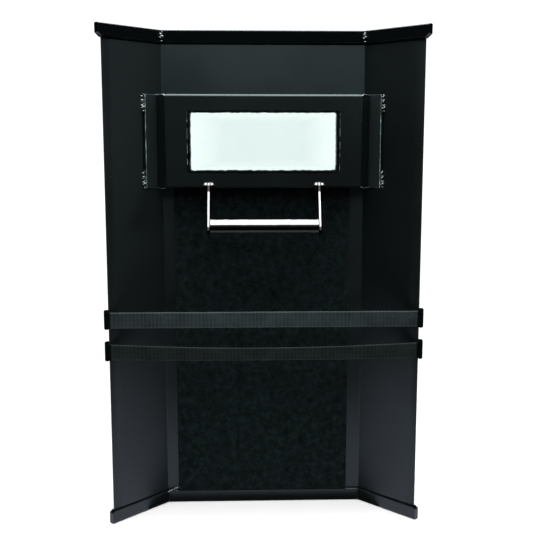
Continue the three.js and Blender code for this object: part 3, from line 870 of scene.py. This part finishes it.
def lay_weld(name, line, facing, stands_for=(), look=None, pitch=1.0, long=2.0, wide=9.5, high=1.0,
             scatter=0.5, wander=1.7, lean=0.35):
    """Ripples in a row. Pitch, long and high multiply the settings; wide and wander are in millimetres."""
    weld = looks().weld
    bead_row(name, [line], "weld_black", "shield", {
        "Spacing": weld.pitch * pitch, "Length": weld.pitch * long, "Width": wide * MM,
        "Height": weld.height * high, "Scatter": scatter, "Wander": wander * MM, "Lean": lean,
        "Facing": facing}, stands_for, look)


def make_welds():
    turn = math.pi / 4
    for side, name in ((-1, "left"), (1, "right")):
        pan_facing, rail_facing = (-side * math.sin(turn), -math.cos(turn), 0), (-side * 0.38, -0.92, 0)
        for row in ("top", "bottom"):
            node = f"pan_weld_{row}_{name}"
            lay_weld(node + "_bead", weld_line(node, 1.6 * MM), pan_facing, [node])
            node = f"rail_weld_{row}_{name}"
            slim = row == "bottom"
            lay_weld(node + "_bead", weld_line(node, 1.2 * MM), rail_facing, [node],
                     "low_rail_black" if slim else None, pitch=1.15, long=1.7, wide=3.6 if slim else 8.0,
                     high=0.4 if slim else 0.8, scatter=0.55, wander=0.3 if slim else 1.8, lean=0.3)
        if side < 0:
            lay_weld("foot_weld_left", [Vector(p) * MM for p in FOOT_WELD], (0, -0.6, 0.8), long=1.9,
                     wide=5.2, high=1.1, scatter=0.35, wander=0.4, lean=0.3)


# ---------------------------------------------------------------- the window

def round_opening(wide, tall, corner):
    """A rounded rectangle about the opening's middle: each point with its unit tangent, in x and z."""
    corners = [(-wide, -tall), (wide, -tall), (wide, tall), (-wide, tall)]
    line, _, tangent = resampled(rounded_path(corners, [corner] * 4, True), 1.5 * MM, True)
    return zip(line, tangent)


def sealed_ring(name, node, inner, corner, lip, rough):
    """A window gasket with its sealant: a flat ring whose inner edge was run by hand, thick and thin."""
    low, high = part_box(node)
    centre_z = (low.z + high.z) / 2
    section = ((0.0, 0.55), (0.25, 0.12), (0.9, -0.1), (2.0, -0.05), (4.5, 0.0), (9.0, 0.0),
               (9.0, 1.0), (0.3, 1.0))           # millimetres outward, and share of the gasket's depth
    rings = []
    for (x, z), (tx, tz) in round_opening(*inner, corner):
        wander = rough * noise.fractal(Vector((x * 160, 3.1, z * 160)), 0.7, 2.2, 3)
        slump = rough * 0.5 * noise.noise(Vector((x * 60, 9.4, z * 60)))
        ring = []
        for out, y in section:
            edge = 1.0 if out < 2.5 else 0.0
            shift = out * MM - (wander + slump) * edge
            depth = low.y + y * (high.y - low.y) if lip < 0 else high.y - y * (high.y - low.y)
            ring.append((x + tz * shift, depth, centre_z + z - tx * shift))
        rings.append(ring)
    rubber_run(name, rings, True, [node])


def smear_round_opening(name, wide, tall):
    """Sealant wiped on to the pan's face round the opening, with a ragged outer edge."""
    low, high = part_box("window_strike_glass")
    centre_z, face = (low.z + high.z) / 2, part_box("viewport_pan")[0].y
    section = ((0, 0.3), (0.1, -0.2), (1.0, -0.5), (2.4, -0.45), (3.2, -0.2), (3.5, 0.3))  # in millimetres
    rings = []
    for (x, z), (tx, tz) in round_opening(wide, tall, 3 * MM):
        wander = 1 + 0.5 * noise.fractal(Vector((x * 90, 5.7, z * 90)), 0.7, 2.2, 3)
        rings.append([(x + tz * out * wander * MM, face + y * MM, centre_z + z - tx * out * wander * MM)
                      for out, y in section])
    rubber_run(name, rings, True)


def make_window():
    recoat("window_strike_glass", "armour_glass")
    recoat("window_spall_liner", "clear_liner")
    for part in ("top", "left", "bottom", "right"):
        recoat("window_channel_" + part, "satin_black")
    ragged = looks().weld.sealant
    pan_half = (134.4 * MM, 53.0 * MM)           # half the width and height that each ring leaves clear
    rear_half, front_half = (133.6 * MM, 52.2 * MM), (133.0 * MM, 52.0 * MM)
    smear_round_opening("window_pan_sealant", *pan_half)
    sealed_ring("window_rear_sealant", "window_rear_gasket", rear_half, 2.4 * MM, -1, ragged)
    sealed_ring("window_front_sealant", "window_front_gasket", front_half, 3.5 * MM, 1, ragged)


# ---------------------------------------------------------------- the handle

def lip(x, direction, outer, inner, radius, steps=4):
    """A tube's rounded end, from the outside to the bore."""
    quarter = [math.pi / 2 * k / steps for k in range(steps + 1)]
    outside = [(x - direction * radius * (1 - math.sin(a)), outer - radius * (1 - math.cos(a)))
               for a in quarter]
    inside = [(x - direction * radius * (1 - math.cos(a)), inner + radius * (1 - math.sin(a)))
              for a in quarter]
    return outside + inside


def make_handle():
    metal = looks().metal
    low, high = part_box("handle_grip_tube")
    outer = (high.z - low.z) / 2
    wall, rounding = 1.6 * MM, 0.6 * MM
    inner = outer - wall
    outline = lip(high.x, 1, outer, inner, rounding) + lip(low.x, -1, outer, inner, rounding)[::-1]
    tube = turned("handle_grip_tube_finished", outline, (low.y + high.y) / 2, (low.z + high.z) / 2)
    new_piece("handle_grip_tube_finished", tube, "stainless", "handle", ["handle_grip_tube"])
    recoat("handle_grip_rod", "stainless", "stainless_rod")
    for side in ("left", "right"):
        eased_copy("handle_lug_" + side, "shield", "stainless", metal.edge_ease * 2, 4)
        eased_copy("handle_pivot_pin_" + side, "shield", "stainless", 0.4 * MM, 3, 50)
        eased_copy("handle_arm_" + side, "handle", "stainless", metal.edge_ease * 2.4, 4)
        eased_copy("grip_end_disc_" + side, "handle", "stainless", 0.4 * MM, 2, 50)


# ---------------------------------------------------------------- the pad

def graded(low, high, step, edge):
    """Positions from low to high, closer together at both ends so that an edge can be rounded."""
    near = [edge * (1 - math.cos(math.pi / 2 * k / 5)) for k in range(6)]
    middle = np.linspace(low + edge, high - edge, int((high - low) / step) + 1)[1:-1]
    return [low + n for n in near] + list(middle) + [high - n for n in near[::-1]]


def make_pad():
    """A foam sheet faced with pile: its face swells softly and rolls over to a cut edge."""
    pad = looks().pad
    low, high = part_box("arm_pad")
    xs = graded(low.x, high.x, 5 * MM, pad.edge)
    zs = graded(low.z, high.z, 5 * MM, pad.edge)

    def face(x, z):
        inward = min(x - low.x, high.x - x, z - low.z, high.z - z)
        roll = max(0.0, 1 - inward / pad.edge)
        drop = pad.edge * (1 - math.sqrt(max(0.0, 1 - roll * roll)))
        swell = noise.fractal(Vector((x * 14, 0.7, z * 14)), 0.6, 2.1, 3)
        ease = min(1.0, inward / (14 * MM))
        return low.y + pad.swell * (1 - 0.5 * ease * (1 + max(-1.0, min(1.0, swell)))) + drop

    bm = bmesh.new()
    front = [[bm.verts.new((x, face(x, z), z)) for x in xs] for z in zs]
    back = [[bm.verts.new((x, high.y, z)) for x in xs] for z in zs]
    rows, columns = len(zs), len(xs)
    for j in range(rows - 1):
        for i in range(columns - 1):
            bm.faces.new((front[j][i], front[j][i + 1], front[j + 1][i + 1], front[j + 1][i]))
            bm.faces.new((back[j][i], back[j + 1][i], back[j + 1][i + 1], back[j][i + 1]))
    rim = ([(0, i) for i in range(columns)] + [(j, columns - 1) for j in range(1, rows)]
           + [(rows - 1, i) for i in range(columns - 2, -1, -1)] + [(j, 0) for j in range(rows - 2, 0, -1)])
    for (j, i), (jj, ii) in zip(rim, rim[1:] + rim[:1]):
        bm.faces.new((front[j][i], back[j][i], back[jj][ii], front[jj][ii]))
    mesh = mesh_from(closed_shell(bm), "arm_pad_pile", 55.0)
    piece = new_piece("arm_pad_pile", mesh, "black_felt", "shield", ["arm_pad"])
    recoat("arm_pad_backing", "black_rubber")


# ---------------------------------------------------------------- the straps

def webbing(name, path, middle_z, body, stands_for=(), sag=0.0, tilt=0.0, flare=0.0,
            painted_brightness=1.0):
    """A woven strip on edge along a level path, with ribs, rolled selvedges and a cut at each end. Its colour
    carries painted light: painted shade at the ends and towards them, a painted highlight on the selvedges,
    and a painted brightness below 1 darkens the whole strip as shade and makes its ribs shallower."""
    strap = looks().strap
    rib_height = strap.rib_height * (1.0 if painted_brightness == 1.0 else 0.25)
    points, along, tangent = resampled(path, 0.65 * MM)
    across = [-math.cos(math.pi * k / 16) for k in range(17)]
    reach = float(np.abs(points[:, 0]).max())
    rings, labels = [], []
    for (x, y), s, (tx, ty) in zip(points, along, tangent):
        # Painted shade: dark at the ends, darker towards them, and darker all through where the painted
        # brightness is below 1.
        clear_of_end_shade = min(1.0, max(0.0, (reach - abs(x) - SHADED_END) / (1.5 * MM)))
        painted_light = clear_of_end_shade * (1 - 0.3 * (x / reach) ** 2) * painted_brightness
        normal = Vector((ty, -tx, 0))
        hang = 1 - (x / reach) ** 2 if y < STRAP_FRONT_Y + 4 * MM else 0.0
        lean = tilt * hang
        up = Vector((0, 0, 1)) * math.cos(lean) + normal * math.sin(lean)
        out = normal * math.cos(lean) - Vector((0, 0, 1)) * math.sin(lean)
        near_wrap = math.exp(-(((abs(x) - reach) / (9 * MM)) ** 4)) if flare else 0.0
        frayed = 0.35 * MM * noise.noise(Vector((s * 240, middle_z * 50, 0)))
        half = strap.width / 2 * (1 + flare * near_wrap) + frayed
        centre = Vector((x, y, middle_z - sag * hang + 0.3 * MM * noise.noise(Vector((s * 22, 1.7, 0)))))
        ring, ring_labels = [], []
        for face in (1, -1):
            for v in across[::face][:-1]:
                body_half = strap.thickness / 2 * math.sqrt(1 - v ** 10)
                selvedge = 1 + 0.18 * math.exp(-(((abs(v) - 0.9) / 0.05) ** 2))
                ring.append(centre + up * (half * v) + out * (face * body_half * selvedge))
                # Painted highlight: the selvedges carry the full painted light, the middle half of it.
                ring_labels.append((s, v, v * strap.width / 2 + (1 - face) * 0.02,
                                    painted_light * (1.0 if abs(v) > 0.86 else 0.5)))
        rings.append(ring)
        labels += ring_labels
    mesh = mesh_from(skin_rings(rings), name, 60.0)
    for label, column in (("along", 0), ("across", 1), ("painted_light", 3)):
        layer = mesh.attributes.new(label, "FLOAT", "POINT")
        layer.data.foreach_set("value", [row[column] for row in labels])
    uv = mesh.uv_layers.new(name="UVMap")
    for loop in mesh.loops:
        row = labels[loop.vertex_index]
        uv.data[loop.index].uv = (row[0], row[2])
    mesh = grown(name, mesh, webbing_tree(), {
        "Rib pitch": strap.rib_pitch, "Rib height": rib_height, "Finish": finish("black_webbing")})
    settle(mesh, 60.0)
    return new_piece(name, mesh, "black_webbing", body, stands_for)


def box_stitches(side, near, far, offset, middle_z, half):
    """The lines of a sewn box with a cross in it, on a wing's strike side."""
    def spot(along, z):
        x, y = wing_point(side, along, offset)
        return (x, y, middle_z + z)
    a, b, c, d = spot(near, -half), spot(far, -half), spot(far, half), spot(near, half)
    return [[a, b, c, d, a], [a, c], [b, d]]


def make_strap(level, sag, tilt):
    strap = looks().strap
    body = level + "_strap"
    low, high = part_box(body + "_front_webbing")
    middle_z = (low.z + high.z) / 2
    right = [(STRAP_SIDE_X, STRAP_FRONT_Y), (STRAP_SIDE_X + 0.5 * MM, STRAP_TURN_Y),
             wing_point(1, 101.6 * MM, 5.0 * MM), wing_point(1, 59 * MM, STRAP_OFF)]
    front = [(-x, y) for x, y in right[::-1]] + right
    turn_radii = [r * MM for r in (6, 5.6, 6.2, 6.2, 5.6, 6)]
    # The lower strap is painted darker, as painted shade.
    drop, painted_brightness = (0.8 * MM, 1.0) if level == "upper" else (0, 0.55)
    webbing(body + "_front_ribbed", rounded_path(front, turn_radii), middle_z - drop, body,
            [body + "_front_webbing"], sag, tilt, flare=0.2, painted_brightness=painted_brightness)
    webbing(body + "_rear_ribbed", plan_line(57 * MM, STRAP_OFF, 8 * MM), middle_z, body,
            [body + "_rear_webbing"])
    patch_off = STRAP_OFF + strap.thickness + 0.3 * MM
    patch = [wing_point(-1, 38 * MM, patch_off), wing_point(-1, 78 * MM, patch_off)]
    webbing(body + "_join_patch", patch, middle_z, body)
    sewn = box_stitches(-1, 42 * MM, 74 * MM, patch_off + strap.thickness * STITCH_LIFT, middle_z, 11 * MM)
    away = (-math.sin(FOLD), math.cos(FOLD), 0)
    bead_row(body + "_join_stitches", sewn, "black_webbing", body, {
        "Spacing": strap.stitch * 1.25, "Length": strap.stitch, "Width": 0.8 * MM, "Height": 0.35 * MM,
        "Scatter": 0.06, "Lean": 0.0, "Facing": away}, look="strap_thread")
    eased_copy(body + "_slide", body, "black_plastic", 0.6 * MM, 3)


def make_bar_tack():
    """The close zigzag that stops the upper strap's end."""
    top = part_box("upper_strap_front_webbing")[1].z
    y = STRAP_FRONT_Y - looks().strap.thickness * STITCH_LIFT
    foot, head = top - 16.5 * MM, top - 7.0 * MM
    first_x, apart = 262.0 * MM, 1.5 * MM
    line = [(first_x + apart * k, y, head if k % 2 else foot) for k in range(7)]
    bead_row("upper_strap_bar_tack", [line], "black_webbing", "upper_strap", {
        "Spacing": 1.9 * MM, "Length": 2.3 * MM, "Width": 0.9 * MM, "Height": 0.5 * MM,
        "Scatter": 0.1, "Lean": 0.0, "Facing": (0, -1, 0)}, look="strap_thread")


# ---------------------------------------------------------------- the stage

def area_light(name, power, size, height, place, aim, falls_on, colour=(1, 1, 1)):
    light = bpy.data.lights.new(name, "AREA")
    light.shape = "RECTANGLE"
    light.energy, light.size, light.size_y, light.color = power, size, height, colour
    lamp = in_scene(name, light)
    lamp.location = place
    lamp.rotation_euler = (Vector(aim) - Vector(place)).to_track_quat("-Z", "Y").to_euler()
    lamp.visible_camera = False
    lamp.visible_transmission = False
    lamp.light_linking.receiver_collection = lit_group(falls_on)


def make_stage():
    stage = looks().stage
    scene = bpy.context.scene
    camera = bpy.data.cameras.new("camera")
    camera.lens, camera.sensor_width = stage.lens, 36.0
    camera.clip_start, camera.clip_end = 0.05, 50.0
    holder = in_scene("camera", camera)
    holder.location = CAMERA_PLACE
    holder.rotation_euler = (math.pi / 2 - CAMERA_DOWN, 0, CAMERA_ASIDE)
    scene.camera = holder

    bm = bmesh.new()
    bmesh.ops.create_circle(bm, cap_ends=True, segments=96, radius=stage.floor_radius)
    bmesh.ops.translate(bm, verts=bm.verts, vec=(0, 0.4, -0.0005))
    mesh = bpy.data.meshes.new("studio_floor")
    bm.to_mesh(mesh)
    bm.free()
    mesh.materials.append(finish("studio_floor"))
    floor = in_scene("studio_floor", mesh)
    floor.visible_glossy = False
    lit_group("unpolished").objects.link(floor)
    lit_group("facing").objects.link(floor)

    area_light("overhead_softbox", stage.overhead, 2.6, 2.4, (0, -0.2, 2.5), (0, 0, 0), "unpolished")
    area_light("front_softbox", stage.front, 1.6, 1.2, (0.25, -2.4, 2.3), (0, 0, 0.7), "facing")
    area_light("side_softbox", stage.side, 0.45, 1.5, (1.8, -0.45, 1.0), (0, 0, 0.55), "facing")
    area_light("floor_bounce", stage.bounce, 1.8, 0.5, (0, -0.245, 0.001), (0, -0.245, 1), "low",
               (0.98, 0.86, 1.0))
    area_light("rear_softbox", stage.rear * 3, 2.6, 1.6, (0.6, 2.8, 2.2), (0, 0, 0.5), "back")
    area_light("rear_glow", stage.rear, 3.0, 3.0, (0, 1.7, 0.001), (0, 1.7, 1), "back")
    area_light("room_glow", stage.room, 7.0, 3.5, (0, -3.5, 1.2), (0, 0, 0.5), "facing")
    area_light("overhead_for_steel", stage.steel * 3.6, 2.6, 3.4, (0, -0.7, 2.5), (0, -0.699, 0), "polished")
    area_light("front_for_steel", stage.steel * 0.8, 2.6, 0.9, (0, -2.4, 2.15), (0, 0, 0.6), "polished")
    area_light("under_for_steel", 0.03, 0.8, 0.3, (0, -0.12, 0.001), (0, -0.12, 1), "polished")

    world = bpy.data.worlds.new("studio")
    world.use_nodes = True
    scene.world = world
    w = Wiring(world.node_tree)
    glow = world.node_tree.nodes["Background"]
    path = w.add("ShaderNodeLightPath")
    seen = w.math("MAXIMUM", path.outputs["Is Camera Ray"], path.outputs["Is Transmission Ray"])
    w.feed(glow.inputs["Color"], (1, 1, 1, 1))
    w.feed(glow.inputs["Strength"], w.math("ADD", w.math("MULTIPLY", seen, 1.2), stage.fill))
    scene.view_settings.view_transform = "Standard"


# ---------------------------------------------------------------- operators and panel

class SHIELD_OT_stage(bpy.types.Operator):
    """Set up the camera, the pale floor and the soft lights"""

    bl_idname = "shield.make_stage"
    bl_label = "Stage"

    def execute(self, context):
        make_stage()
        return {"FINISHED"}


class SHIELD_OT_body(bpy.types.Operator):
    """Finish the bent plate, its six rails and the viewport's pan in satin coat"""

    bl_idname = "shield.make_body"
    bl_label = "Plate, rails and pan"

    def execute(self, context):
        make_plate()
        make_rails()
        make_pan()
        return {"FINISHED"}


class SHIELD_OT_welds(bpy.types.Operator):
    """Lay the rippled weld beads on the rails and the pan"""

    bl_idname = "shield.make_welds"
    bl_label = "Welds"

    def execute(self, context):
        make_welds()
        return {"FINISHED"}


class SHIELD_OT_window(bpy.types.Operator):
    """Finish the glass, its liner, gaskets and sealant"""

    bl_idname = "shield.make_window"
    bl_label = "Window"

    def execute(self, context):
        make_window()
        return {"FINISHED"}


class SHIELD_OT_handle(bpy.types.Operator):
    """Polish the swinging handle, its lugs and its pins"""

    bl_idname = "shield.make_handle"
    bl_label = "Handle"

    def execute(self, context):
        make_handle()
        return {"FINISHED"}


class SHIELD_OT_pad(bpy.types.Operator):
    """Make the forearm pad with its pile"""

    bl_idname = "shield.make_pad"
    bl_label = "Forearm pad"

    def execute(self, context):
        make_pad()
        return {"FINISHED"}


class SHIELD_OT_straps(bpy.types.Operator):
    """Weave the two forearm straps and sew their ends"""

    bl_idname = "shield.make_straps"
    bl_label = "Straps"

    def execute(self, context):
        strap = looks().strap
        make_strap("upper", 0.0, 0.0)
        make_strap("lower", strap.sag, strap.tilt)
        make_bar_tack()
        return {"FINISHED"}


class SHIELD_PT_parts(bpy.types.Panel):
    """Lists the shield's pieces and their settings"""

    bl_label = "Shield"
    bl_idname = "SHIELD_PT_parts"
    bl_space_type = "VIEW_3D"
    bl_region_type = "UI"
    bl_category = "Shield"

    def draw(self, context):
        layout = self.layout
        for operator in OPERATORS:
            layout.operator(operator.bl_idname)
        settings = context.scene.shield_looks
        for group in settings.bl_rna.properties.keys():
            part = getattr(settings, group)
            if isinstance(part, bpy.types.PropertyGroup):
                box = layout.box()
                box.label(text=group.title())
                for key in part.__annotations__:
                    box.prop(part, key)


OPERATORS = (SHIELD_OT_stage, SHIELD_OT_body, SHIELD_OT_welds, SHIELD_OT_window, SHIELD_OT_handle,
             SHIELD_OT_pad, SHIELD_OT_straps)
CLASSES = (ShieldCoatSettings, ShieldWeldSettings, ShieldMetalSettings, ShieldWindowSettings,
           ShieldPadSettings, ShieldStrapSettings, ShieldStageSettings, ShieldLooks,
           *OPERATORS, SHIELD_PT_parts)


def register():
    for cls in CLASSES:
        bpy.utils.register_class(cls)
    bpy.types.Scene.shield_looks = PointerProperty(type=ShieldLooks)


def unregister():
    del bpy.types.Scene.shield_looks
    for cls in reversed(CLASSES):
        bpy.utils.unregister_class(cls)


def main():
    register()
    bpy.ops.shield.make_stage()
    bpy.ops.shield.make_body()
    bpy.ops.shield.make_welds()
    bpy.ops.shield.make_window()
    bpy.ops.shield.make_handle()
    bpy.ops.shield.make_pad()
    bpy.ops.shield.make_straps()


if __name__ == "__main__":
    main()
